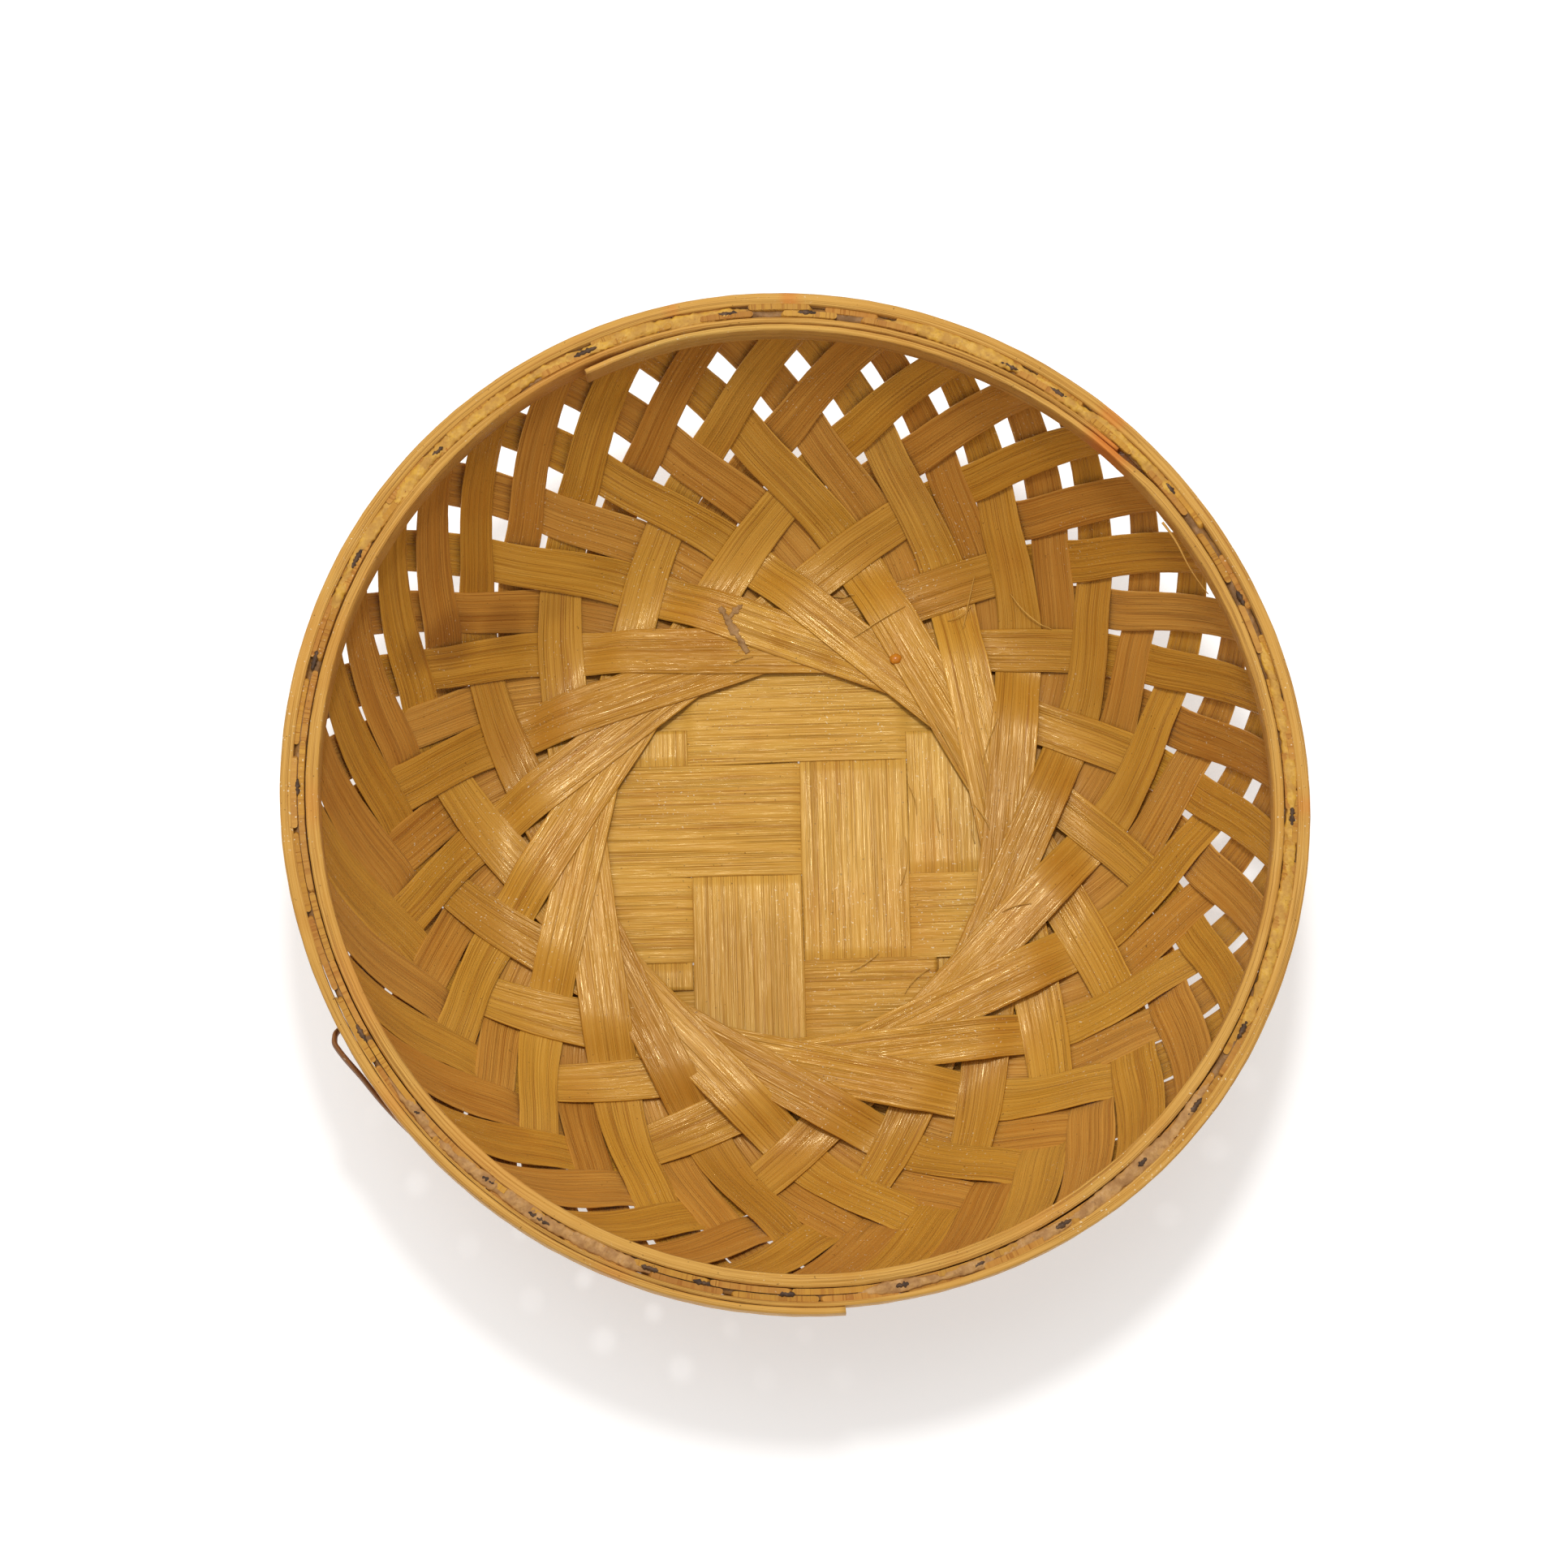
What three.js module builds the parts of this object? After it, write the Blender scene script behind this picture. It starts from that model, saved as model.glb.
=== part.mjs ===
// A round bowl basket of split bamboo, in millimetres, +Z up, standing on z = 0 with its axis on the Z axis.
// A small twill mat makes the middle of the floor. Two layers of long strips lie round it as chords of a
// circle, one layer above the mat and one below. They overlap there like the blades of an iris, turn up
// through the bend and cross each other as the wall. Two hoops, with glue between, hold their ends.
import * as THREE from "three";

// ---- driving dimensions ----
const RIM_RADIUS = 100; // outer face of the outer hoop
const HEIGHT = 66;
const HOOP_HEIGHT = 6;
const OUTER_HOOP_THICKNESS = 2.4;
const INNER_HOOP_THICKNESS = 2.1;
const RIM_GROOVE = 2.6; // space between the hoops, which the strip ends fill
const HOOP_TIP = 0.3; // thickness left at the thin end of a lap

const CHORDS = 19; // long strips in each layer
const CHORD_RADIUS = 43.3; // least distance from the axis to a chord's centre line
const CHORD_WIDTH = 9.2;
const STRIP_THICKNESS = 0.35;
const WEAVE_STEP = 0.75; // from one level of the wall's weave to the next
const BLADE_STEP = 0.6; // rise of each iris blade over the next one
const BLADE_CLIMB = 29.5; // each chord climbs over the others from this far before its middle to after it
const BLADE_FLAT_END = 33.5; // end of the level stretch after the climb

const FLOOR_RADIUS = 58.5; // the floor is flat out to here
const BEND_RADIUS = 19; // profile of the turn from the floor to the wall
const BEND_SLOPE = THREE.MathUtils.degToRad(46);
const RIM_SLOPE = THREE.MathUtils.degToRad(86); // the wall curves up to this slope, then runs straight
const ENDS_BELOW_TOP = 1.8; // the strip ends stop this far under the top of the hoops

const MAT_RADIUS = 53;
const MAT_THICKNESS = 0.4;
const MAT_STEP = 0.7; // between the mat's two levels
const MAT_GAP = 1; // between neighbouring mat strips
const MAT_TURN = THREE.MathUtils.degToRad(1.7);
const WARP_LINES = [-45, -21.7, 1.4, 23.9, 46]; // x of the mat's joints, with its two outer edges
const WEFT_LINES = [-44, -22.4, -4.3, 19.6, 42.5]; // y of the same
const WEFT_OVER = ["--oo", "o--o", "oo--", "-oo-"]; // for each weft, "o" where it passes over a warp

const RING_STEPS = 72;
const LAP_STEPS = 14;
const INNER_LAP_START = THREE.MathUtils.degToRad(45);
const OUTER_LAP_START = THREE.MathUtils.degToRad(205);
const GLUE_SPANS = [[36, 80], [95, 160], [216, 254], [277, 325], [330, 378]]; // angles, in degrees
const GLUE_HEIGHT = 1;
const GAP = 0.3; // left between pieces that touch

// ---- values that follow from them ----
const TURN = 2 * Math.PI;
const CHORD_PITCH = TURN / CHORDS;
const CROSSING_PITCH = CHORD_PITCH / 2; // between a chord of one layer and the next one of the other
const GROOVE_OUTSIDE = RIM_RADIUS - OUTER_HOOP_THICKNESS;
const GROOVE_INSIDE = GROOVE_OUTSIDE - RIM_GROOVE;
const TANGENT_SPACING = 2 * CHORD_RADIUS * Math.tan(CHORD_PITCH / 2);
const BLADE_RISE = (BLADE_STEP * 2 * BLADE_CLIMB) / TANGENT_SPACING;
const BLADE_BASE = 1.5 * WEAVE_STEP; // mid height of a blade where it lies on the mat
const BLADE_TOP = BLADE_BASE + BLADE_RISE;
const FLOOR_Z = BLADE_TOP + STRIP_THICKNESS / 2; // the lowest blades rest on z = 0

// ---- materials ----
const goldenBamboo = { color: 0xc08f42, roughness: 0.4, metalness: 0 };
const brownBamboo = { color: 0xad7c40, roughness: 0.5, metalness: 0 };
const paleBamboo = { color: 0xc79f58, roughness: 0.45, metalness: 0 };
const hoopBamboo = { color: 0xc9963f, roughness: 0.5, metalness: 0 };
const driedGlue = { color: 0xb5872a, roughness: 0.7, metalness: 0 };

// ---- the basket's middle surface: a profile turned about the axis ----
// Distances along the profile are measured outward from the edge of the flat floor.
const bendLength = BEND_RADIUS * BEND_SLOPE;
const bendEndRadius = FLOOR_RADIUS + BEND_RADIUS * Math.sin(BEND_SLOPE);
const wallEndRadius = GROOVE_INSIDE + RIM_GROOVE / 2 + 0.1; // where the wall is straight, between the hoops
const wallRadius = (wallEndRadius - bendEndRadius) / (Math.sin(RIM_SLOPE) - Math.sin(BEND_SLOPE));
const wallLength = wallRadius * (RIM_SLOPE - BEND_SLOPE);

// The point reached after a distance along a round stretch that starts at a given point and slope.
function arcPoint(start, arcRadius, distance) {
  const slope = start.slope + distance / arcRadius;
  return {
    radius: start.radius + arcRadius * (Math.sin(slope) - Math.sin(start.slope)),
    z: start.z + arcRadius * (Math.cos(start.slope) - Math.cos(slope)),
    slope,
  };
}

function profileAt(along) {
  const floorEdge = { radius: FLOOR_RADIUS, z: FLOOR_Z, slope: 0 };
  if (along <= 0) return { ...floorEdge, radius: FLOOR_RADIUS + along };
  if (along <= bendLength) return arcPoint(floorEdge, BEND_RADIUS, along);
  const bendEnd = arcPoint(floorEdge, BEND_RADIUS, bendLength);
  if (along <= bendLength + wallLength) return arcPoint(bendEnd, wallRadius, along - bendLength);
  const wallEnd = arcPoint(bendEnd, wallRadius, wallLength);
  const straight = along - bendLength - wallLength;
  return {
    radius: wallEnd.radius + straight * Math.cos(RIM_SLOPE),
    z: wallEnd.z + straight * Math.sin(RIM_SLOPE),
    slope: RIM_SLOPE,
  };
}

// The point at a distance along the profile, an angle about the axis, and a height off the middle surface.
function surfacePoint(along, angle, height) {
  const { radius, z, slope } = profileAt(along);
  const r = radius - height * Math.sin(slope);
  return new THREE.Vector3(r * Math.cos(angle), r * Math.sin(angle), z + height * Math.cos(slope));
}

// The value between low and high at which a rising function reaches its target.
function solve(rising, target, low, high) {
  for (let i = 0; i < 40; i++) {
    const middle = (low + high) / 2;
    if (rising(middle) < target) low = middle;
    else high = middle;
  }
  return (low + high) / 2;
}

const stripTop = solve((along) => profileAt(along).z, HEIGHT - ENDS_BELOW_TOP, 0, 2 * HEIGHT);
const TABLE_STEP = 0.25;
const tableLength = stripTop + CHORD_WIDTH;

// A chord bent over the surface keeps radius times sin(its angle to the profile) constant. This table holds
// how far such a centre line has turned about the axis since its nearest point, for each step of the profile.
const turnTable = [Math.acos(CHORD_RADIUS / FLOOR_RADIUS)];
for (let along = TABLE_STEP / 2; along < tableLength; along += TABLE_STEP) {
  const { radius } = profileAt(along);
  const rate = CHORD_RADIUS / (radius * Math.sqrt(radius ** 2 - CHORD_RADIUS ** 2));
  turnTable.push(turnTable.at(-1) + rate * TABLE_STEP);
}

function turnAt(along) {
  if (along <= 0) return Math.acos(Math.min(1, CHORD_RADIUS / (FLOOR_RADIUS + along)));
  const place = Math.min(along / TABLE_STEP, turnTable.length - 1.001);
  const index = Math.floor(place);
  return THREE.MathUtils.lerp(turnTable[index], turnTable[index + 1], place - index);
}

// A point of a chord's outgoing half, beside its centre line by side (positive away from the axis).
// It is found on the cone that touches the surface there. Its crossing number counts the chords that run
// the other way: at crossing n the chord meets the one that stands n crossing pitches further round.
function besideChord(along, side) {
  const { radius, slope } = profileAt(along);
  const sine = CHORD_RADIUS / radius;
  const cone = radius / Math.cos(slope);
  const x = cone + side * sine;
  const y = -side * Math.sqrt(1 - sine ** 2);
  const point = {
    along: along + Math.hypot(x, y) - cone,
    angle: turnAt(along) + Math.atan2(y, x) / Math.cos(slope),
  };
  point.crossing = (point.angle + turnAt(point.along)) / CROSSING_PITCH;
  return point;
}

// ---- levels of the weave, in steps off the middle surface, by crossing number ----
// "leading" is a chord's counterclockwise half and "trailing" its other half. Each pair is
// [crossing number, level]: the level is held outside the pairs and changes evenly between them.
const HIGH_BLADE = BLADE_TOP / WEAVE_STEP;
const LEVELS = {
  upper: {
    leading: [[8.3, HIGH_BLADE], [9.3, 0.5], [10.7, 0.5], [11.3, 1.5], [13, 1.5], [13.7, -0.55]],
    trailing: [[11, 1.5], [12, -0.5], [13.3, -0.5], [13.7, 0.55]],
  },
  lower: {
    leading: [[8.3, -1.5], [9.3, -0.5], [11.3, -0.5], [12.3, 0.5], [13.3, 0.5], [13.7, -0.55]],
    trailing: [[8.3, -HIGH_BLADE], [9.3, -1.8], [13, -1.8], [13.7, 0.55]],
  },
};
const FIRST_WALL_CROSSING = 8;
const LAST_WALL_CROSSING = 16;
const CROSSING_EDGES = [0.3, 0.7]; // where a level may start or end a change, on the way to the next crossing

function levelAt(pairs, crossing) {
  const next = pairs.findIndex(([at]) => at >= crossing);
  if (next === 0) return pairs[0][1];
  if (next < 0) return pairs.at(-1)[1];
  const [fromAt, from] = pairs[next - 1];
  const [toAt, to] = pairs[next];
  return THREE.MathUtils.mapLinear(crossing, fromAt, toAt, from, to);
}

// ---- strips ----
// A box whose corners are moved by place(station, across, up): station counts the rows of corners along it,
// across is +1 or -1 to the two sides and up is +1 on the top face and -1 underneath.
function bentBox(stations, place) {
  const steps = stations - 1;
  const geometry = new THREE.BoxGeometry(steps, 2, 2, steps, 1, 1);
  const position = geometry.getAttribute("position");
  for (let i = 0; i < position.count; i++) {
    const station = Math.round(position.getX(i) + steps / 2);
    const point = place(station, Math.sign(position.getY(i)), Math.sign(position.getZ(i)));
    position.setXYZ(i, point.x, point.y, point.z);
  }
  // The box's top and bottom are cut into triangles along opposite diagonals. The bottom's are turned round
  // here, so that a twisted strip keeps its thickness.
  const corners = geometry.getIndex().array;
  const bottom = geometry.groups[5];
  for (let i = bottom.start; i < bottom.start + bottom.count; i += 6) {
    const [a, b, , , c, d] = corners.slice(i, i + 6);
    corners.set([a, b, c, a, c, d], i);
  }
  geometry.computeVertexNormals();
  return geometry;
}

// The rows of corners of one half of a chord, from the floor to the rim. On the floor a row is given by its
// distance along the chord, and on the wall by the crossing chord that its corners line up with.
const halfRows = [{ floor: BLADE_CLIMB }, { floor: BLADE_FLAT_END }];
for (let crossing = FIRST_WALL_CROSSING; crossing < LAST_WALL_CROSSING; crossing++) {
  for (const part of CROSSING_EDGES) halfRows.push({ crossing: crossing + part });
}
halfRows.push({ top: true });

function halfChordPoint(row, side, pairs) {
  if (row.floor !== undefined) {
    const along = Math.hypot(row.floor, CHORD_RADIUS + side) - FLOOR_RADIUS;
    return { along, angle: Math.atan2(row.floor, CHORD_RADIUS + side), level: pairs[0][1] };
  }
  const measure = row.top ? (p) => p.along : (p) => p.crossing;
  const target = row.top ? stripTop : row.crossing;
  const start = CHORD_RADIUS - FLOOR_RADIUS;
  const centre = solve((a) => measure(besideChord(a, side)), target, start, tableLength);
  const point = besideChord(centre, side);
  return { along: point.along, angle: point.angle, level: levelAt(pairs, point.crossing) };
}

function chordGeometry(levels) {
  const rows = halfRows.length;
  return bentBox(2 * rows, (station, across, up) => {
    const leading = station >= rows;
    const row = halfRows[leading ? station - rows : rows - 1 - station];
    const side = (-across * CHORD_WIDTH) / 2;
    const point = halfChordPoint(row, side, leading ? levels.leading : levels.trailing);
    const height = point.level * WEAVE_STEP + (up * STRIP_THICKNESS) / 2;
    return surfacePoint(point.along, leading ? point.angle : -point.angle, height);
  });
}

function addPiece(group, name, geometry, look) {
  const mesh = new THREE.Mesh(geometry, new THREE.MeshStandardMaterial(look));
  mesh.name = name;
  group.add(mesh);
  return mesh;
}

const numbered = (count) => String(count).padStart(2, "0");

function chordLayer(layer, firstAngle, look) {
  const group = new THREE.Group();
  const geometry = chordGeometry(LEVELS[layer]);
  for (let i = 0; i < CHORDS; i++) {
    addPiece(group, `${layer}_strip_${numbered(i + 1)}`, geometry.clone(), look).rotation.z =
      firstAngle + i * CHORD_PITCH;
  }
  return group;
}

// ---- mat ----
// A flat strip along X between two values of y. Its level changes at each joint: levels holds +1 for each
// stretch that runs above the strip it crosses and -1 for each that runs under it, in order along X.
function matStrip(low, high, joints, levels) {
  const reach = Math.sqrt(MAT_RADIUS ** 2 - Math.max(Math.abs(low), Math.abs(high)) ** 2);
  const places = [-reach, ...joints.flatMap((x) => [x - MAT_GAP / 2, x + MAT_GAP / 2]), reach];
  return bentBox(places.length, (station, across, up) => {
    const level = levels[Math.floor(station / 2)];
    const z = FLOOR_Z + (level * MAT_STEP + up * MAT_THICKNESS) / 2;
    const y = across > 0 ? high - MAT_GAP / 2 : low + MAT_GAP / 2;
    return new THREE.Vector3(places[station], y, z);
  });
}

function mat() {
  const group = new THREE.Group();
  group.rotation.z = MAT_TURN;
  WEFT_OVER.forEach((over, i) => {
    const levels = [...over].map((sign) => (sign === "o" ? 1 : -1));
    const weft = matStrip(WEFT_LINES[i], WEFT_LINES[i + 1], WARP_LINES.slice(1, -1), levels);
    addPiece(group, `mat_weft_${i + 1}`, weft, paleBamboo);
  });
  // A warp is made along X like a weft and then turned onto Y, which turns its own Y to face down X.
  for (let i = 0; i < WARP_LINES.length - 1; i++) {
    const levels = WEFT_OVER.map((over) => (over[i] === "o" ? -1 : 1));
    const warp = matStrip(-WARP_LINES[i + 1], -WARP_LINES[i], WEFT_LINES.slice(1, -1), levels);
    addPiece(group, `mat_warp_${i + 1}`, warp.rotateZ(Math.PI / 2), paleBamboo);
  }
  return group;
}

// ---- rim ----
// A flat bar bent into a ring and past its own start, so that its two ends lie over each other from lapStart
// on for lapSteps. Both are pared down to thin tips there, the first on the inner side of the second.
function hoop(inside, outside, lapStart, lapSteps) {
  const thickness = outside - inside;
  const pared = thickness - 2 * HOOP_TIP - GAP;
  return bentBox(RING_STEPS + lapSteps + 1, (station, across, up) => {
    let [inner, outer] = [inside, outside];
    if (station <= lapSteps) outer = inside + HOOP_TIP + (pared * station) / lapSteps;
    const past = station - RING_STEPS;
    if (past >= 0) inner = inside + HOOP_TIP + GAP + (pared * past) / lapSteps;
    const angle = lapStart + (station * TURN) / RING_STEPS;
    const radius = across > 0 ? inner : outer;
    const z = up > 0 ? HEIGHT : HEIGHT - HOOP_HEIGHT;
    return new THREE.Vector3(radius * Math.cos(angle), radius * Math.sin(angle), z);
  });
}

// A bead of glue over the strip ends, between two angles.
function glueBead(start, end) {
  const steps = Math.round(((end - start) * RING_STEPS) / TURN);
  return bentBox(steps + 1, (station, across, up) => {
    const angle = THREE.MathUtils.mapLinear(station, 0, steps, start, end);
    const radius = across > 0 ? GROOVE_INSIDE + GAP : GROOVE_OUTSIDE - GAP;
    const z = HEIGHT - ENDS_BELOW_TOP + GAP + (up > 0 ? GLUE_HEIGHT : 0);
    return new THREE.Vector3(radius * Math.cos(angle), radius * Math.sin(angle), z);
  });
}

function rim() {
  const group = new THREE.Group();
  const innerHoop = hoop(GROOVE_INSIDE - INNER_HOOP_THICKNESS, GROOVE_INSIDE, INNER_LAP_START, LAP_STEPS);
  const outerHoop = hoop(GROOVE_OUTSIDE, RIM_RADIUS, OUTER_LAP_START, LAP_STEPS);
  addPiece(group, "inner_hoop", innerHoop, hoopBamboo);
  addPiece(group, "outer_hoop", outerHoop, hoopBamboo);
  GLUE_SPANS.forEach(([start, end], i) => {
    const bead = glueBead(THREE.MathUtils.degToRad(start), THREE.MathUtils.degToRad(end));
    addPiece(group, `rim_glue_${i + 1}`, bead, driedGlue);
  });
  return group;
}

const basket = new THREE.Group();
basket.add(chordLayer("upper", Math.PI / 2, goldenBamboo));
basket.add(chordLayer("lower", Math.PI / 2 + CROSSING_PITCH, brownBamboo));
basket.add(mat());
basket.add(rim());
export default basket;
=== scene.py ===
"""The looks of a round bowl basket of split bamboo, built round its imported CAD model.

Lengths are in millimetres until a mesh is made, angles in radians unless a name ends in _DEG.
"""
import math

import bpy
import numpy as np
from mathutils.bvhtree import BVHTree
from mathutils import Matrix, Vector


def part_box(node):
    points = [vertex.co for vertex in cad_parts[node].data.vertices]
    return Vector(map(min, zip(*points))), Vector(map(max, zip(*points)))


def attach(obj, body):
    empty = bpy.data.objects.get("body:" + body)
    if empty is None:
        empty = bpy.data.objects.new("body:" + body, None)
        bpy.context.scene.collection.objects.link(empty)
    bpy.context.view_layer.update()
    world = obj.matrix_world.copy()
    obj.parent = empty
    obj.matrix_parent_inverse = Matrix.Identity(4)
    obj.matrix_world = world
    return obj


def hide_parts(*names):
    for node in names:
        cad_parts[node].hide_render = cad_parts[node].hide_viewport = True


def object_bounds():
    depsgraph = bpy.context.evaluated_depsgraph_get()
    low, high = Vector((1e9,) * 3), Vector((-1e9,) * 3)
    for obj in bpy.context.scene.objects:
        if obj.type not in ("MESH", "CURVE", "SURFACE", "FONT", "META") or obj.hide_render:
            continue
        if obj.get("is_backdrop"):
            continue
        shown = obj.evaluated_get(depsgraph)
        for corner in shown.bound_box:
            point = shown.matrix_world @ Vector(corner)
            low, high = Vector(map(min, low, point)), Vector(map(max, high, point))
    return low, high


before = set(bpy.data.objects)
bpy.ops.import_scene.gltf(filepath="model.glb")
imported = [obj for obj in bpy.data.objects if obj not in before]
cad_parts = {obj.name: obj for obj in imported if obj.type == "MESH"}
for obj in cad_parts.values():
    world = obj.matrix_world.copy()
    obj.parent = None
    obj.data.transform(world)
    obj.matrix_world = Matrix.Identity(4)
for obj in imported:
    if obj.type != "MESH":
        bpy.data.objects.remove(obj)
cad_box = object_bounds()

MM = 0.001
rim_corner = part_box("outer_hoop")[1]
RIM_RADIUS = rim_corner.x / MM
HEIGHT = rim_corner.z / MM

# ---- the basket's middle surface and its strips, as the CAD model has them ----
OUTER_HOOP_THICKNESS = 2.4
INNER_HOOP_THICKNESS = 2.1
RIM_GROOVE = 2.6
HOOP_HEIGHT = 6.0
GROOVE_OUTSIDE = RIM_RADIUS - OUTER_HOOP_THICKNESS
GROOVE_INSIDE = GROOVE_OUTSIDE - RIM_GROOVE

CHORDS = 19
CHORD_RADIUS = 43.3
WEAVE_STEP = 0.75
CAD_STRIP_THICKNESS = 0.35
BLADE_STEP = 0.6
BLADE_CLIMB = 29.5
CROSSING_PITCH = math.pi / CHORDS
BLADE_RISE = BLADE_STEP * BLADE_CLIMB / (CHORD_RADIUS * math.tan(CROSSING_PITCH))
BLADE_TOP = 1.5 * WEAVE_STEP + BLADE_RISE
FLOOR_Z = BLADE_TOP + CAD_STRIP_THICKNESS / 2

FLOOR_RADIUS = 58.5
BEND_RADIUS = 19.0
BEND_SLOPE = math.radians(46)
RIM_SLOPE = math.radians(86)
BEND_LENGTH = BEND_RADIUS * BEND_SLOPE
WALL_END_RADIUS = GROOVE_INSIDE + RIM_GROOVE / 2 + 0.1
WALL_ARC = (WALL_END_RADIUS - FLOOR_RADIUS - BEND_RADIUS * math.sin(BEND_SLOPE)) / (
    math.sin(RIM_SLOPE) - math.sin(BEND_SLOPE))
WALL_LENGTH = WALL_ARC * (RIM_SLOPE - BEND_SLOPE)

# Levels of the weave, in steps off the middle surface, at crossing numbers. "leading" is a chord's
# counterclockwise half. Crossing n is where it meets the nth chord round from it that runs the other way.
HIGH_BLADE = BLADE_TOP / WEAVE_STEP
LEVELS = {
    "upper": {
        "leading": [(8.3, HIGH_BLADE), (9.3, 0.5), (10.7, 0.5), (11.3, 1.5), (13, 1.5), (13.7, -0.9)],
        "trailing": [(11, 1.5), (12, -0.5), (13.3, -0.5), (13.7, 0.9)],
    },
    "lower": {
        "leading": [(8.3, -1.5), (9.3, -0.5), (11.3, -0.5), (12.3, 0.5), (13.3, 0.5), (13.7, -0.9)],
        "trailing": [(8.3, -HIGH_BLADE), (9.3, -1.8), (13, -1.8), (13.7, 0.9)],
    },
}

# How far each upper strip stands from its even place round the floor, in degrees, counterclockwise.
UPPER_DRIFT_DEG = [0.5, 0.6, 1.1, 1.7, 2.2, 3.3, 3.3, 1.4, -0.6, -1.5, -2.8, -2.7, -0.9, 0.2, -0.8,
                   -2.9, -2.9, -1.1, -0.1]

# The weave has pulled the rim a little out of round and sideways, more so higher up.
OVAL = 1.5
OVAL_ANGLE = math.radians(122)
LEAN = (-0.2, 0.7)
FOOT_LIFT = 0.12

# ---- the mat, as the CAD model has it ----
MAT_RADIUS = 53.0
MAT_STEP = 0.7
MAT_TURN_DEG = 1.7
WARP_LINES = [-45, -21.7, 1.4, 23.9, 46]
WEFT_LINES = [-44, -22.4, -4.3, 19.6, 42.5]
WEFT_OVER = ["--oo", "o--o", "oo--", "-oo-"]

# ---- camera ----
CAMERA_DISTANCE = 760.0
CAMERA_ELEVATION = math.radians(77.6)
CAMERA_TARGET = (-2.16, 8.76, HEIGHT / 2)
CAMERA_LENS = 86.5


def make_camera():
    camera = bpy.data.objects.new("camera", bpy.data.cameras.new("camera"))
    bpy.context.scene.collection.objects.link(camera)
    x, y, z = CAMERA_TARGET
    camera.location = (
        x * MM,
        (y - CAMERA_DISTANCE * math.cos(CAMERA_ELEVATION)) * MM,
        (z + CAMERA_DISTANCE * math.sin(CAMERA_ELEVATION)) * MM,
    )
    camera.rotation_euler = (math.pi / 2 - CAMERA_ELEVATION, 0, 0)
    camera.data.lens = CAMERA_LENS
    camera.data.sensor_width = 36
    camera.data.clip_start = 0.01
    bpy.context.scene.camera = camera


make_camera()


# ---- shape of the middle surface ----
def smoothstep(low, high, value):
    t = np.clip((value - low) / (high - low), 0, 1)
    return t * t * (3 - 2 * t)


def profile(along):
    """Radius, height and slope at a distance along the profile, outward from the edge of the flat floor."""
    bend_slope = np.clip(along, 0, BEND_LENGTH) / BEND_RADIUS
    slope = bend_slope + np.clip(along - BEND_LENGTH, 0, WALL_LENGTH) / WALL_ARC
    straight = np.maximum(along - BEND_LENGTH - WALL_LENGTH, 0)
    radius = FLOOR_RADIUS + np.minimum(along, 0) + BEND_RADIUS * np.sin(bend_slope)
    radius = radius + WALL_ARC * (np.sin(slope) - np.sin(bend_slope)) + straight * np.cos(RIM_SLOPE)
    z = FLOOR_Z + BEND_RADIUS * (1 - np.cos(bend_slope))
    z = z + WALL_ARC * (np.cos(bend_slope) - np.cos(slope)) + straight * np.sin(RIM_SLOPE)
    return radius, z, slope


def surface_points(along, angle, height):
    """Points at a distance along the profile, an angle about the axis and a height off the middle surface."""
    radius, z, slope = profile(along)
    r = radius - height * np.sin(slope)
    return np.stack([r * np.cos(angle), r * np.sin(angle), z + height * np.cos(slope)], axis=-1)


# A chord's centre line keeps radius times sin(its angle to the profile) constant. These tables hold how far
# it has turned about the axis and how long it is, from its nearest point to the axis. The real strips drift a
# little further round as they climb the wall.
TABLE_STEP = 0.25
WALL_DRIFT = math.radians(2.1)
FLAT_HALF = math.sqrt(FLOOR_RADIUS ** 2 - CHORD_RADIUS ** 2)
wall_along = np.arange(0, 130, TABLE_STEP)


def wall_tables():
    radius = profile(wall_along[:-1] + TABLE_STEP / 2)[0]
    cosine = np.sqrt(1 - (CHORD_RADIUS / radius) ** 2)
    turn = np.concatenate([[0], np.cumsum(CHORD_RADIUS / (radius ** 2 * cosine) * TABLE_STEP)])
    length = np.concatenate([[0], np.cumsum(TABLE_STEP / cosine)])
    drift = WALL_DRIFT * smoothstep(8, 36, wall_along)
    return math.acos(CHORD_RADIUS / FLOOR_RADIUS) + turn + drift, FLAT_HALF + length


wall_turn, wall_length = wall_tables()


def turn_at(along):
    on_floor = np.arccos(np.clip(CHORD_RADIUS / (FLOOR_RADIUS + np.minimum(along, 0)), -1, 1))
    return np.where(along <= 0, on_floor, np.interp(along, wall_along, wall_turn))


def along_at(distance):
    """How far along the profile a chord is, at a distance from its middle."""
    distance = np.abs(distance)
    on_floor = np.hypot(np.minimum(distance, FLAT_HALF), CHORD_RADIUS) - FLOOR_RADIUS
    return np.where(distance <= FLAT_HALF, on_floor, np.interp(distance, wall_length, wall_along))


def beside_chord(distance, side):
    """Place along the profile and angle about the axis of a point beside a chord, side away from the axis."""
    along = along_at(distance)
    radius, _, slope = profile(along)
    sine = np.minimum(CHORD_RADIUS / radius, 1)
    cone = radius / np.cos(slope)
    x = cone + side * sine
    y = -side * np.sqrt(1 - sine ** 2)
    angle = turn_at(along) + np.arctan2(y, x) / np.cos(slope)
    return along + np.hypot(x, y) - cone, np.sign(distance) * angle


def pulled(points):
    """Points of the even basket as they stand in the real one, whose rim is a little oval and leans.

    FOOT_LIFT keeps the lowest strips off the floor.
    """
    x, y, z = points[..., 0], points[..., 1], points[..., 2]
    rise = np.clip(z / HEIGHT, 0, 1) ** 1.5
    stretch = 1 + OVAL / RIM_RADIUS * np.cos(2 * (np.arctan2(y, x) - OVAL_ANGLE)) * rise
    return np.stack([x * stretch + LEAN[0] * rise, y * stretch + LEAN[1] * rise, z + FOOT_LIFT], axis=-1)


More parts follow.
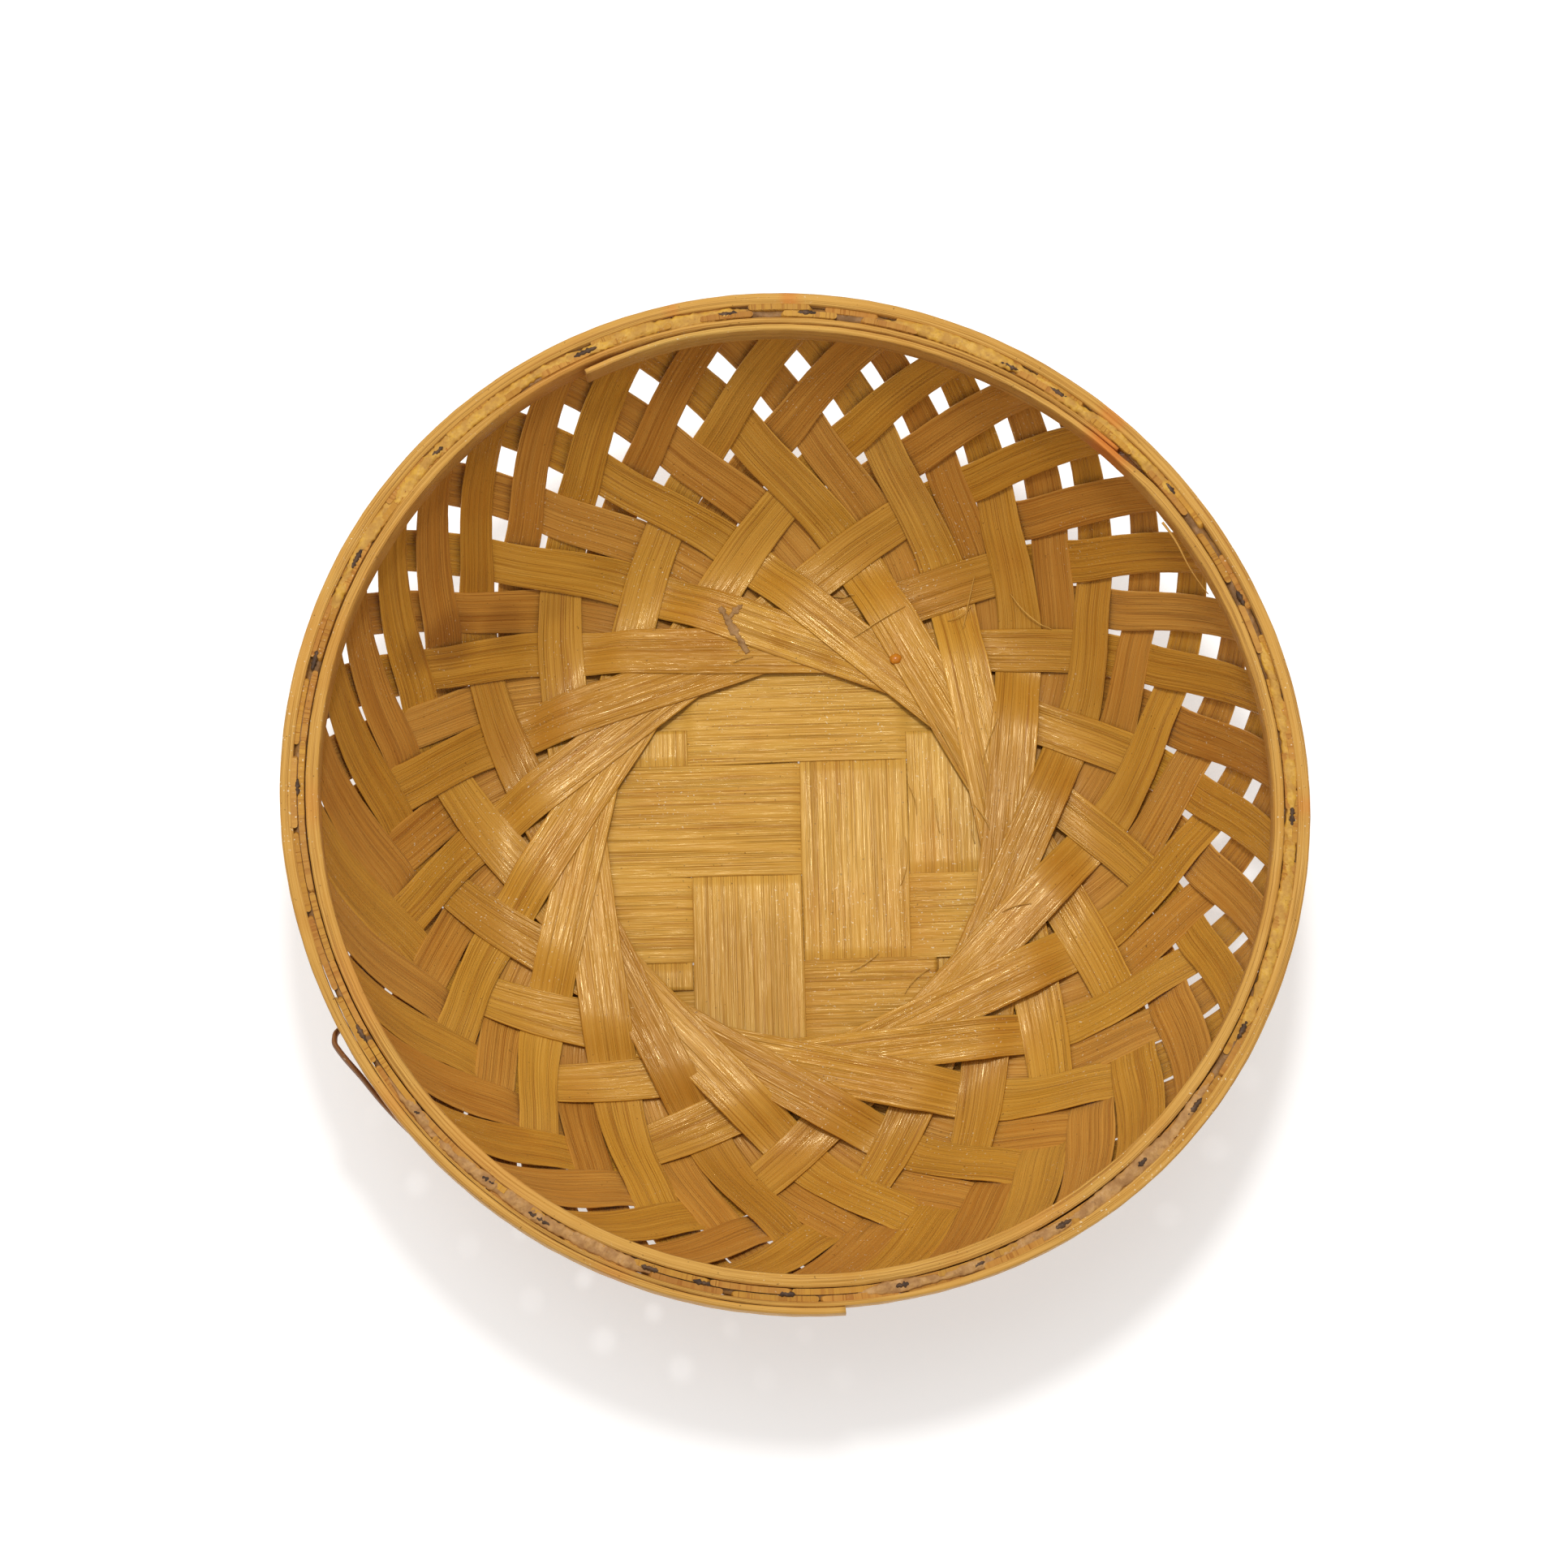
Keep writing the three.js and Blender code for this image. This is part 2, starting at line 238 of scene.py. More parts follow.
# ---- small helpers ----
def waves(rng, place, lengths, size):
    """A smooth random line: sines of the given wavelengths with random phases, about size high."""
    total = 0
    for length in lengths:
        total = total + np.sin(2 * math.pi * (place / length + rng.random())) * rng.uniform(0.5, 1)
    return size * total / math.sqrt(len(lengths))


def smooth_rows(values, sigma):
    """Values blurred along their first axis by a bell curve of sigma rows."""
    reach = int(3 * sigma) + 1
    bell = np.exp(-0.5 * (np.arange(-reach, reach + 1) / sigma) ** 2)
    padded = np.pad(values, ((reach, reach), (0, 0)), mode="edge")
    return np.stack([np.convolve(column, bell / bell.sum(), mode="valid") for column in padded.T], axis=1)


END_GRAIN = 0.25


def loft(name, rings, along, across, marks=None):
    """A closed solid through rings of points in mm, with UVs in cm and float attributes for its material.

    rings is rows x ring x 3. along holds each row's place and across each ring point's, with one more
    column for where the ring meets its start again. The pattern is drawn out by END_GRAIN on the cut ends.
    """
    rows, ring = rings.shape[:2]
    i, j = np.meshgrid(np.arange(rows - 1), np.arange(ring), indexing="ij")
    j_next = (j + 1) % ring
    quads = np.stack([i * ring + j, (i + 1) * ring + j, (i + 1) * ring + j_next, i * ring + j_next], axis=-1)
    faces = quads.reshape(-1, 4).tolist()
    faces.append(list(range(ring)))
    faces.append([(rows - 1) * ring + k for k in range(ring)][::-1])
    mesh = bpy.data.meshes.new(name)
    mesh.from_pydata((pulled(rings).reshape(-1, 3) * MM).tolist(), [], faces)
    u = np.stack([along[i], along[i + 1], along[i + 1], along[i]], axis=-1)
    across = np.broadcast_to(across, (rows, ring + 1))
    v = np.stack([across[i, j], across[i + 1, j], across[i + 1, j + 1], across[i, j + 1]], axis=-1)
    uv = np.zeros((len(mesh.loops), 2))
    uv[: u.size, 0] = u.ravel() / 10
    uv[: v.size, 1] = v.ravel() / 10
    uv[u.size:, 0] = np.repeat([along[0], along[-1]], ring) / 10
    uv[u.size:, 1] = np.concatenate([across[0, :-1], across[-1, :-1][::-1]]) / 10 * END_GRAIN
    mesh.uv_layers.new(name="strip").data.foreach_set("uv", uv.ravel())
    for mark, values in (marks or {}).items():
        attribute = mesh.attributes.new(mark, "FLOAT", "POINT")
        spread = np.broadcast_to(np.asarray(values, float), (rows, ring))
        attribute.data.foreach_set("value", np.ascontiguousarray(spread, np.float32).ravel())
    mesh.shade_smooth()
    for cap in mesh.polygons[-2:]:
        cap.use_smooth = False
    mesh.validate()
    piece = bpy.data.objects.new(name, mesh)
    bpy.context.scene.collection.objects.link(piece)
    if signed_volume(mesh) < 0:
        mesh.flip_normals()
    return piece


def signed_volume(mesh):
    mesh.calc_loop_triangles()
    points = np.array([v.co for v in mesh.vertices])
    corners = np.array([t.vertices for t in mesh.loop_triangles])
    a, b, c = points[corners[:, 0]], points[corners[:, 1]], points[corners[:, 2]]
    return float(np.einsum("ij,ij->i", a, np.cross(b, c)).sum())


def dress(piece, material, slot, *nodes):
    """Gives a finished piece its material and its body, and hides the CAD nodes it stands for. slot is not
    used.
    """
    piece.data.materials.append(material)
    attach(piece, "root")
    if nodes:
        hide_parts(*nodes)
    return piece


# ---- materials ----
def srgb(red, green, blue):
    """A colour given as 0 to 255 screen values, as Blender's linear RGBA."""
    def linear(value):
        value = value / 255
        return value / 12.92 if value <= 0.04045 else ((value + 0.055) / 1.055) ** 2.4
    return (linear(red), linear(green), linear(blue), 1.0)


class Look:
    """A material made of nodes. Values given to a node are numbers, colours or other nodes' sockets."""

    def __init__(self, name):
        self.material = bpy.data.materials.new(name)
        self.material.use_nodes = True
        self.tree = self.material.node_tree
        self.shader = self.tree.nodes["Principled BSDF"]

    def feed(self, socket, value):
        if isinstance(value, bpy.types.NodeSocket):
            self.tree.links.new(value, socket)
        else:
            socket.default_value = value

    def add(self, kind, inputs=(), **settings):
        node = self.tree.nodes.new(kind)
        for key, value in settings.items():
            setattr(node, key, value)
        for key, value in dict(inputs).items():
            self.feed(node.inputs[key], value)
        return node

    def maths(self, operation, a, b=0.0, clamp=False):
        return self.add("ShaderNodeMath", {0: a, 1: b}, operation=operation, use_clamp=clamp).outputs[0]

    def mark(self, name):
        """A float attribute of the mesh."""
        return self.add("ShaderNodeAttribute", attribute_name=name).outputs["Fac"]

    def mix(self, factor, a, b):
        """Two colours mixed."""
        return self.add("ShaderNodeMix", {0: factor, 6: a, 7: b}, data_type="RGBA").outputs[2]

    def scale(self, value, low, high, to_low=0.0, to_high=1.0):
        """A value taken from one range to another, smoothly, and held at its ends."""
        inputs = {0: value, 1: low, 2: high, 3: to_low, 4: to_high}
        return self.add("ShaderNodeMapRange", inputs, interpolation_type="SMOOTHSTEP").outputs[0]

    def strip_place(self, along_scale, across_scale, seed, seed_step=7.3):
        """A point in a strip's own pattern space, from its UVs in cm and its seed."""
        uv = self.add("ShaderNodeUVMap", uv_map="strip").outputs[0]
        split = self.add("ShaderNodeSeparateXYZ", {0: uv}).outputs
        u = self.maths("MULTIPLY", split[0], along_scale)
        v = self.maths("MULTIPLY", split[1], across_scale)
        layer = self.maths("MULTIPLY", seed, seed_step)
        return self.add("ShaderNodeCombineXYZ", {0: u, 1: v, 2: layer}).outputs[0]

    def noise(self, place, scale=1.0, detail=2.0, roughness=0.5):
        inputs = {"Vector": place, "Scale": scale, "Detail": detail, "Roughness": roughness}
        return self.add("ShaderNodeTexNoise", inputs).outputs["Fac"]

    def object_place(self):
        return self.add("ShaderNodeTexCoord").outputs["Object"]


def bamboo(name, light, base, dark, roughness, gloss, dye=srgb(178, 62, 34)):
    """Split bamboo: fine fibre lines along the strip, broader bands, blotches, specks and paler edges."""
    look = Look(name)
    seed = look.mark("seed")
    tone = look.mark("tone")
    edge = look.mark("edge")
    stain_and_painted_shade = look.mark("stain_and_painted_shade")
    place = look.object_place()
    bands = look.noise(look.strip_place(0.1, 4.5, seed), detail=3)
    fibres = look.noise(look.strip_place(0.16, 32, seed, 5.1), detail=3, roughness=0.6)
    threads = look.noise(look.strip_place(0.6, 74, seed, 3.7), detail=2)
    blotches = look.noise(place, scale=55, detail=3)
    specks = look.noise(place, scale=1500, detail=1)
    dust = look.noise(place, scale=2300, detail=0)
    dusty = look.noise(place, scale=38, detail=1)

    def dark_lines(along_scale, across_scale, width, seed_step):
        """Thin lines along the strip that come and go."""
        noise = look.noise(look.strip_place(along_scale, across_scale, seed, seed_step), detail=1)
        off_line = look.maths("ABSOLUTE", look.maths("SUBTRACT", noise, 0.5))
        line = look.scale(off_line, width * 0.25, width, 1, 0)
        patches = look.noise(look.strip_place(0.3, across_scale * 0.3, seed, seed_step + 1.7), detail=2)
        return look.maths("MULTIPLY", line, look.scale(patches, 0.4, 0.6))

    faint = look.maths("MULTIPLY", dark_lines(0.05, 11, 0.018, 11.9), 0.85)
    lines = look.maths("MAXIMUM", faint, dark_lines(0.07, 26, 0.044, 8.3))

    colour = look.mix(look.scale(fibres, 0.3, 0.7), base, light)
    colour = look.mix(look.scale(bands, 0.5, 0.75, 0, 0.12), colour, dark)
    colour = look.mix(look.scale(threads, 0.3, 0.7, 0.2, 0), colour, dark)
    colour = look.mix(look.maths("MULTIPLY", lines, 0.62), colour, srgb(152, 86, 24))
    colour = look.mix(look.scale(blotches, 0.5, 0.75, 0, 0.3), colour, srgb(182, 112, 30))
    colour = look.mix(look.scale(specks, 0.72, 0.8, 0, 0.7), colour, srgb(92, 58, 24))
    speckled = look.maths("MULTIPLY", look.scale(dust, 0.76, 0.82), look.scale(dusty, 0.48, 0.62, 0, 0.7))
    colour = look.mix(look.scale(edge, 0.88, 1.0, 0, 0.3), colour, light)
    # Positive tone mixes in the dark colour: strips that differ, strips a little darker on the floor, and
    # painted shade on the near side of the mat.
    colour = look.mix(look.maths("MULTIPLY", tone, 1.0, clamp=True), colour, dark)
    # Negative tone mixes in a pale colour: paler strips, the inner hoop's pale end, and painted highlights at
    # the pale spots on the floor strips.
    pale = look.maths("MULTIPLY", tone, -1.0, clamp=True)
    colour = look.mix(pale, colour, srgb(214, 172, 92))
    # Stain colour: real stains, and painted shade where the stain mark carries it.
    colour = look.mix(stain_and_painted_shade, colour, srgb(118, 66, 22))
    colour = look.mix(speckled, colour, srgb(236, 220, 186))
    colour = look.mix(look.mark("dye"), colour, dye)
    look.feed(look.shader.inputs["Base Color"], colour)

    shine = look.scale(fibres, 0.3, 0.7, roughness + 0.15, roughness - 0.1)
    look.feed(look.shader.inputs["Roughness"], shine)
    relief = look.maths("ADD", fibres, look.maths("MULTIPLY", threads, 0.4))
    relief = look.maths("SUBTRACT", relief, look.maths("MULTIPLY", lines, 0.3))
    bump = look.add("ShaderNodeBump", {"Strength": 1.0, "Distance": 0.0002, "Height": relief})
    look.feed(look.shader.inputs["Normal"], bump.outputs[0])
    look.shader.inputs["Specular IOR Level"].default_value = gloss
    look.shader.inputs["Specular Tint"].default_value = (1.0, 0.83, 0.5, 1)
    look.shader.inputs["Sheen Weight"].default_value = 0.02
    look.shader.inputs["Sheen Roughness"].default_value = 0.4
    return look.material


def glue_look(name, dark, light, dirt):
    look = Look(name)
    place = look.object_place()
    clouds = look.noise(place, scale=380, detail=4, roughness=0.6)
    grains = look.noise(place, scale=1500, detail=2)
    colour = look.mix(look.scale(clouds, 0.35, 0.68), dark, light)
    colour = look.mix(look.scale(grains, 0.55, 0.8, 0, 0.5), colour, dirt)
    look.feed(look.shader.inputs["Base Color"], colour)
    look.feed(look.shader.inputs["Roughness"], look.scale(clouds, 0.3, 0.7, 0.75, 0.5))
    height = look.maths("ADD", clouds, look.maths("MULTIPLY", grains, 0.4))
    bump = look.add("ShaderNodeBump", {"Strength": 0.8, "Distance": 0.0004, "Height": height})
    look.feed(look.shader.inputs["Normal"], bump.outputs[0])
    return look.material


def resin_look():
    look = Look("resin_look")
    depth = look.noise(look.object_place(), scale=900, detail=2)
    look.feed(look.shader.inputs["Base Color"], look.mix(depth, srgb(222, 146, 40), srgb(176, 100, 18)))
    look.feed(look.shader.inputs["Roughness"], look.scale(depth, 0.3, 0.7, 0.12, 0.25))
    look.shader.inputs["Subsurface Weight"].default_value = 0.3
    look.shader.inputs["Subsurface Radius"].default_value = (0.002, 0.001, 0.0004)
    return look.material


def floor_look():
    look = Look("floor_look")
    cloud = look.noise(look.object_place(), scale=4, detail=1)
    look.feed(look.shader.inputs["Base Color"], look.mix(cloud, srgb(226, 226, 225), srgb(222, 222, 222)))
    look.feed(look.shader.inputs["Roughness"], look.scale(cloud, 0.3, 0.7, 0.85, 0.95))
    look.shader.inputs["Specular IOR Level"].default_value = 0.1
    look.shader.inputs["Emission Color"].default_value = (1, 1, 1, 1)
    look.shader.inputs["Emission Strength"].default_value = 0.4
    return look.material


upper_look = bamboo("bamboo_upper_look", srgb(216, 163, 66), srgb(196, 140, 42), srgb(152, 92, 24), 0.22, 0.7)
lower_look = bamboo("bamboo_lower_look", srgb(214, 158, 72), srgb(192, 131, 48), srgb(142, 84, 24), 0.3, 0.5)
mat_look = bamboo("bamboo_mat_look", srgb(220, 173, 82), srgb(203, 149, 54), srgb(180, 122, 40), 0.26, 0.6)
hoop_look = bamboo("bamboo_hoop_look", srgb(211, 161, 82), srgb(200, 148, 68), srgb(172, 114, 44),
                   0.46, 0.3, dye=srgb(206, 112, 40))
fibre_look = bamboo("bamboo_fibre_look", srgb(232, 188, 100), srgb(216, 164, 76), srgb(180, 124, 50),
                    0.5, 0.3)
skin_look = bamboo("bamboo_skin_look", srgb(140, 92, 52), srgb(122, 72, 38), srgb(84, 44, 22), 0.5, 0.3)


# ---- long strips ----
STATION_STEP = 1.15
STRIP_THICKNESS = 0.46
END_THICKNESS = 1.15
HALF_WIDTHS = (4.4, 5.1)
END_LENGTH = 9.0
# Towards the rim every strip narrows by SLACK_NARROWING, and those on the near and left wall, which has
# almost no holes, widen by TIGHT_WIDENING.
TIGHT_SIDE = math.radians(250)
TIGHT_WIDENING = 0.33
SLACK_NARROWING = 0.07

# The section of a strip: across it (-1 to 1) on its top face, then back underneath.
TOP_PLACES = [-0.975, -0.9, -0.72, -0.48, -0.24, 0, 0.24, 0.48, 0.72, 0.9, 0.975]
section_across = np.array([-1.0] + TOP_PLACES + [1.0, 1.0] + TOP_PLACES[::-1] + [-1.0])
TOP_UPS = [0.3, 0.82] + [1.0] * 9 + [0.82, 0.3]
section_up = np.array(TOP_UPS + [-up for up in TOP_UPS])


def tangent_angles():
    """Where each of the 38 chords touches its inner circle, in order round the floor, lower ones between."""
    angles = []
    for i in range(CHORDS):
        drift = UPPER_DRIFT_DEG[i]
        next_drift = UPPER_DRIFT_DEG[(i + 1) % CHORDS]
        even = math.pi / 2 + 2 * i * CROSSING_PITCH
        angles.append(even + math.radians(drift))
        angles.append(even + CROSSING_PITCH + math.radians((drift + next_drift) / 2))
    return np.array(angles)


TANGENTS = tangent_angles()
ROUND_TANGENTS = np.concatenate([TANGENTS - 2 * math.pi, TANGENTS, TANGENTS + 2 * math.pi])
ROUND_NUMBERS = np.arange(-2 * CHORDS, 4 * CHORDS)


def weave_height(layer, number, distance, along, angle):
    """Height of a strip's middle off the basket's middle surface, before it is smoothed."""
    own = TANGENTS[number]
    leading = np.broadcast_to(distance > 0, along.shape)
    partner = own + angle + np.where(leading, turn_at(along), -turn_at(along))
    crossing = np.abs(np.interp(partner, ROUND_TANGENTS, ROUND_NUMBERS) - number)
    pairs = LEVELS[layer]
    levels = {half: np.interp(crossing, *zip(*pairs[half])) for half in pairs}
    first, last = pairs["trailing"][0][1], pairs["leading"][0][1]
    ramp = first + (last - first) * (distance + BLADE_CLIMB) / (2 * BLADE_CLIMB)
    beyond = np.where(leading, levels["leading"], levels["trailing"])
    return np.where(np.abs(distance) < BLADE_CLIMB, ramp, beyond) * WEAVE_STEP


def strip_end(rng):
    """Distance from a chord's middle to its end in the rim, which stops a little under the top."""
    top = HEIGHT - rng.uniform(0.25, 1.1)
    return float(np.interp(top, profile(wall_along)[1], wall_length))


def long_strip(layer, index):
    number = 2 * index + (layer == "lower")
    rng = np.random.default_rng(1000 + number)
    start, end = -strip_end(rng), strip_end(rng)
    stations = int((end - start) / STATION_STEP)
    distance = np.linspace(start, end, stations)[:, None]
    round_rim = TANGENTS[number] + np.sign(distance) * turn_at(along_at(distance))
    tight = smoothstep(-0.2, 0.5, np.cos(round_rim - TIGHT_SIDE))
    widening = (TIGHT_WIDENING * tight - SLACK_NARROWING) * smoothstep(60, 95, np.abs(distance))
    half_width = rng.uniform(*HALF_WIDTHS) * (1 + widening)
    half_width = half_width * (1 + 0.12 * smoothstep(12, 5, np.minimum(distance - start, end - distance)))
    half_width = half_width + waves(rng, distance, [260, 90, 41], 0.16)
    half_width = half_width + waves(rng, distance, [13, 7.3, 4.1], 0.03)
    near_rim = smoothstep(40, 110, np.abs(distance))
    centre = waves(rng, distance, [240, 130], 0.55) * (0.25 + 0.75 * near_rim)
    side = centre + section_across * half_width

    # The two ends are cut level with the rim, so the rows there slide along the strip.
    sine = CHORD_RADIUS / profile(along_at(distance))[0]
    to_end = np.minimum(distance - start, end - distance)
    slide = -side * sine / np.sqrt(1 - np.minimum(sine, 0.9) ** 2) * smoothstep(16, 1, to_end)
    at = distance + np.sign(distance) * slide
    along, angle = beside_chord(at, side)

    height = smooth_rows(weave_height(layer, number, at, along, angle), 2.0)
    in_rim = smoothstep(END_LENGTH, END_LENGTH - 4, to_end)
    thickness = STRIP_THICKNESS + (END_THICKNESS - STRIP_THICKNESS) * in_rim
    camber = rng.uniform(-0.05, 0.12) * (1 - section_across ** 2) * (1 - in_rim)
    ridges = waves(rng, section_across * 4.6, [2.3, 1.1], 0.018) * (section_up > 0.9)
    height = height + section_up * thickness / 2 + camber + ridges
    height = height + waves(rng, distance, [47, 23], 0.06) * (1 - in_rim)
    rings = surface_points(along, TANGENTS[number] + angle, height)

    marks = {
        "seed": rng.uniform(0, 20),
        # Tone is made paler at the pale spots: painted highlights.
        "tone": strip_tone(rng, layer, distance) - spots(rings, PAINTED_HIGHLIGHT_SPOTS),
        "edge": np.abs(section_across),
        # Real stains and the stained ends in the rim, with painted shade from the last two stains.
        "stain_and_painted_shade": np.clip(spots(rings, STAINS_AND_PAINTED_SHADE) + 0.4 * in_rim * rng.uniform(0.3, 1), 0, 1),
        "dye": spots(rings, RED_SPOTS) + 0.04 * smoothstep(55, 85, np.abs(distance)),
    }
    name = f"{layer}_strip_{index + 1:02d}"
    shown = loft(f"{name}_bamboo", rings, distance[:, 0] - start, wrap(side), marks)
    material = upper_look if layer == "upper" else lower_look
    woven.append(dress(shown, material, f"bamboo_{layer}", name))


def wrap(across):
    """Ring values with the first one again at the end."""
    return np.concatenate([across, across[..., :1]], axis=-1)


def strip_tone(rng, layer, distance):
    """Positive is darker and negative paler: strips differ, and each is a little darker on the floor."""
    own = rng.normal(0.0 if layer == "upper" else 0.04, 0.12)
    on_the_floor = 0.2 * smoothstep(72, 48, np.abs(distance))
    return np.clip(own + on_the_floor - 0.02 + waves(rng, distance, [90, 37], 0.04), -0.35, 0.6)


# Marks on the strips, and for the stains and painted shade on the mat too: x, y, z of the middle, radius and
# strength. The pale spots are painted highlights. The stains are real, save the last two, which are painted
# shade.
PAINTED_HIGHLIGHT_SPOTS = [(-10.0, 48.0, 5, 9, 0.4), (2.0, 44.0, 4, 8, 0.4), (12.0, 40.0, 4, 6, 0.3)]
STAINS_AND_PAINTED_SHADE = [
    (-12.0, 48.0, 5, 2.6, 0.3),
    (-70.0, 41.0, 24, 9, 0.5),
    (-60.0, 46.0, 16, 7, 0.35),
    (-50.0, 52.0, 11, 5, 0.25),
    (-76.0, 36.0, 30, 7, 0.45),
    # Painted shade: the near side of the mat and the blades there, and the right side of the ring of blades.
    (-9.5, -26.0, 4.5, 20, 0.2),
    (44.0, 8.0, 6, 18, 0.14),
]
RED_SPOTS = [
    (-10.5, 35.5, 5, 1.8, 0.8),
    (-35.0, -33.0, 5, 1.6, 0.6),
    (-41.0, 78.0, 45, 1.7, 0.6),
    (-8.0, 68.0, 20, 1.4, 0.6),
]


def spots(points, places):
    """How strongly marks at the given places show at each point."""
    total = np.zeros(points.shape[:-1])
    for x, y, z, radius, strength in places:
        apart = np.linalg.norm(points - np.array([x, y, z]), axis=-1)
        total = np.maximum(total, strength * smoothstep(radius, radius * 0.35, apart))
    return total


woven = []
for i in range(CHORDS):
    long_strip("upper", i)
    long_strip("lower", i)


# ---- mat ----
def mat_strip(name, node, low, high, joints, levels, turned):
    """A flat strip along X (or Y if turned) whose level changes smoothly over each joint."""
    rng = np.random.default_rng(sum(ord(letter) for letter in node))
    reach = math.sqrt(MAT_RADIUS ** 2 - max(abs(low), abs(high)) ** 2)
    x = np.arange(-reach, reach, 0.8)[:, None]
    middle, half_width = (low + high) / 2, (high - low) / 2 - 0.1
    half_width = half_width + waves(rng, x, [70, 31], 0.1)
    y = middle + waves(rng, x, [110, 60], 0.15) + x * rng.normal(0, 0.006) + section_across * half_width
    level = np.full_like(x, levels[0], dtype=float)
    for joint, before, after in zip(joints, levels, levels[1:]):
        level = level + (after - before) * smoothstep(joint - 1.9, joint + 1.9, x)
    bow = 0.1 * (1 - section_across ** 2) * np.where(level > 0, 1, -1)
    z = FLOOR_Z + level * MAT_STEP / 2 + section_up * STRIP_THICKNESS / 2 + bow * np.abs(level)
    z = z + waves(rng, section_across * 11, [5, 2.1], 0.015) * (section_up > 0.9)
    x, y, z = np.broadcast_arrays(x, y, z)
    angle = math.radians(MAT_TURN_DEG) + (math.pi / 2 if turned else 0)
    turned_x = x * math.cos(angle) - y * math.sin(angle)
    turned_y = x * math.sin(angle) + y * math.cos(angle)
    rings = np.stack([turned_x, turned_y, z], axis=-1)
    marks = {
        "seed": rng.uniform(0, 20),
        # Tone darkens the mat towards its near side (negative y): painted shade.
        "tone": rng.normal(0.0, 0.07) + waves(rng, x, [60, 29], 0.03) + 0.2 * smoothstep(2, -20, turned_y),
        "edge": np.abs(section_across),
        # Stains on the mat, with painted shade on its near side.
        "stain_and_painted_shade": spots(rings, STAINS_AND_PAINTED_SHADE),
        "dye": 0.0,
    }
    woven.append(dress(loft(name, rings, x[:, 0] + reach, wrap(y), marks), mat_look, "bamboo_mat", node))


def mat():
    for i, over in enumerate(WEFT_OVER):
        levels = [1 if sign == "o" else -1 for sign in over]
        mat_strip(f"mat_weft_{i + 1}_bamboo", f"mat_weft_{i + 1}", WEFT_LINES[i], WEFT_LINES[i + 1],
                  WARP_LINES[1:-1], levels, False)
    for i in range(len(WARP_LINES) - 1):
        levels = [-1 if over[i] == "o" else 1 for over in WEFT_OVER]
        mat_strip(f"mat_warp_{i + 1}_bamboo", f"mat_warp_{i + 1}", -WARP_LINES[i + 1], -WARP_LINES[i],
                  WEFT_LINES[1:-1], levels, True)


mat()


# ---- hoops ----
CORNER_POINTS = 4


def bar_section():
    """A rounded bar's section: each point's corner, as signs across and up, and its place round it."""
    points = []
    for across, up in ((1, 1), (-1, 1), (-1, -1), (1, -1)):
        first = math.atan2(up, across) - math.pi / 4
        for k in range(CORNER_POINTS):
            turn = first + k * math.pi / 2 / (CORNER_POINTS - 1)
            points.append((across, up, math.cos(turn), math.sin(turn)))
    return points


def ring_wobble(rng, angle, size):
    """A smooth random line that closes on itself round the rim."""
    total = 0
    for count in (2, 3, 5, 8):
        total = total + rng.uniform(0.4, 1) * np.sin(count * angle + rng.uniform(0, 6.3)) / count ** 0.5
    return size * total


def bent_bar(name, start_deg, end_deg, inner, outer, top, bottom, corner, tone, dye_marks, seed):
    """A flat bar bent round the rim between two angles. inner, outer, top, bottom and tone are functions of
    the angle in degrees. dye_marks is a list of (angle, spread, strength) in degrees."""
    rng = np.random.default_rng(seed)
    degrees = np.linspace(start_deg, end_deg, int(abs(end_deg - start_deg) * 1.25) + 2)
    angle = np.radians(degrees)
    low_r, high_r = inner(degrees), outer(degrees)
    wobble = ring_wobble(np.random.default_rng(5), angle, 0.12)
    round_off = np.minimum(corner, (high_r - low_r) * 0.45)
    rings, across_uv = [], []
    for across, up, cosine, sine in bar_section():
        r = np.where(across > 0, high_r - round_off, low_r + round_off) + round_off * cosine
        z_edge = top(degrees) - round_off if up > 0 else bottom(degrees) + round_off
        z = z_edge + round_off * sine
        r = r + wobble + waves(rng, degrees + 31 * across, [17, 7, 3.1], 0.05)
        rings.append(np.stack([r * np.cos(angle), r * np.sin(angle), z], axis=-1))
        across_uv.append(r - z)
    rings = np.stack(rings, axis=1)
    steps = np.linalg.norm(np.diff(wrap_ring(rings), axis=1), axis=-1)
    across_uv = np.concatenate([np.zeros((len(degrees), 1)), np.cumsum(steps, axis=1)], axis=1)
    dye = np.zeros(len(degrees))
    for at, spread, strength in dye_marks:
        apart = (degrees - at + 180) % 360 - 180
        dye = np.maximum(dye, strength * smoothstep(spread, spread * 0.2, np.abs(apart)))
    marks = {
        "seed": rng.uniform(0, 20),
        "tone": (waves(rng, degrees, [140, 60, 23], 0.05) + tone(degrees))[:, None],
        "edge": 0.0,
        "stain_and_painted_shade": 0.0,
        "dye": dye[:, None],
    }
    return loft(name, rings, angle * (RIM_RADIUS - 3), across_uv, marks)


def wrap_ring(rings):
    return np.concatenate([rings, rings[:, :1]], axis=1)


# Where each hoop's ends lie over each other, and thicknesses in the laps.
HOOP_TIP = 0.3
HOOP_CORNER = 0.45
OUTER_LAP_DEG = (205, 275.5)
OUTER_REGROWN_DEG = 318
OUTER_UNDERLAY = 1.0
INNER_LAP_DEG = (47, 116)
INNER_UNDERLAY = 1.1
INNER_TIP = 0.8
INNER_STAND_OFF = 0.6


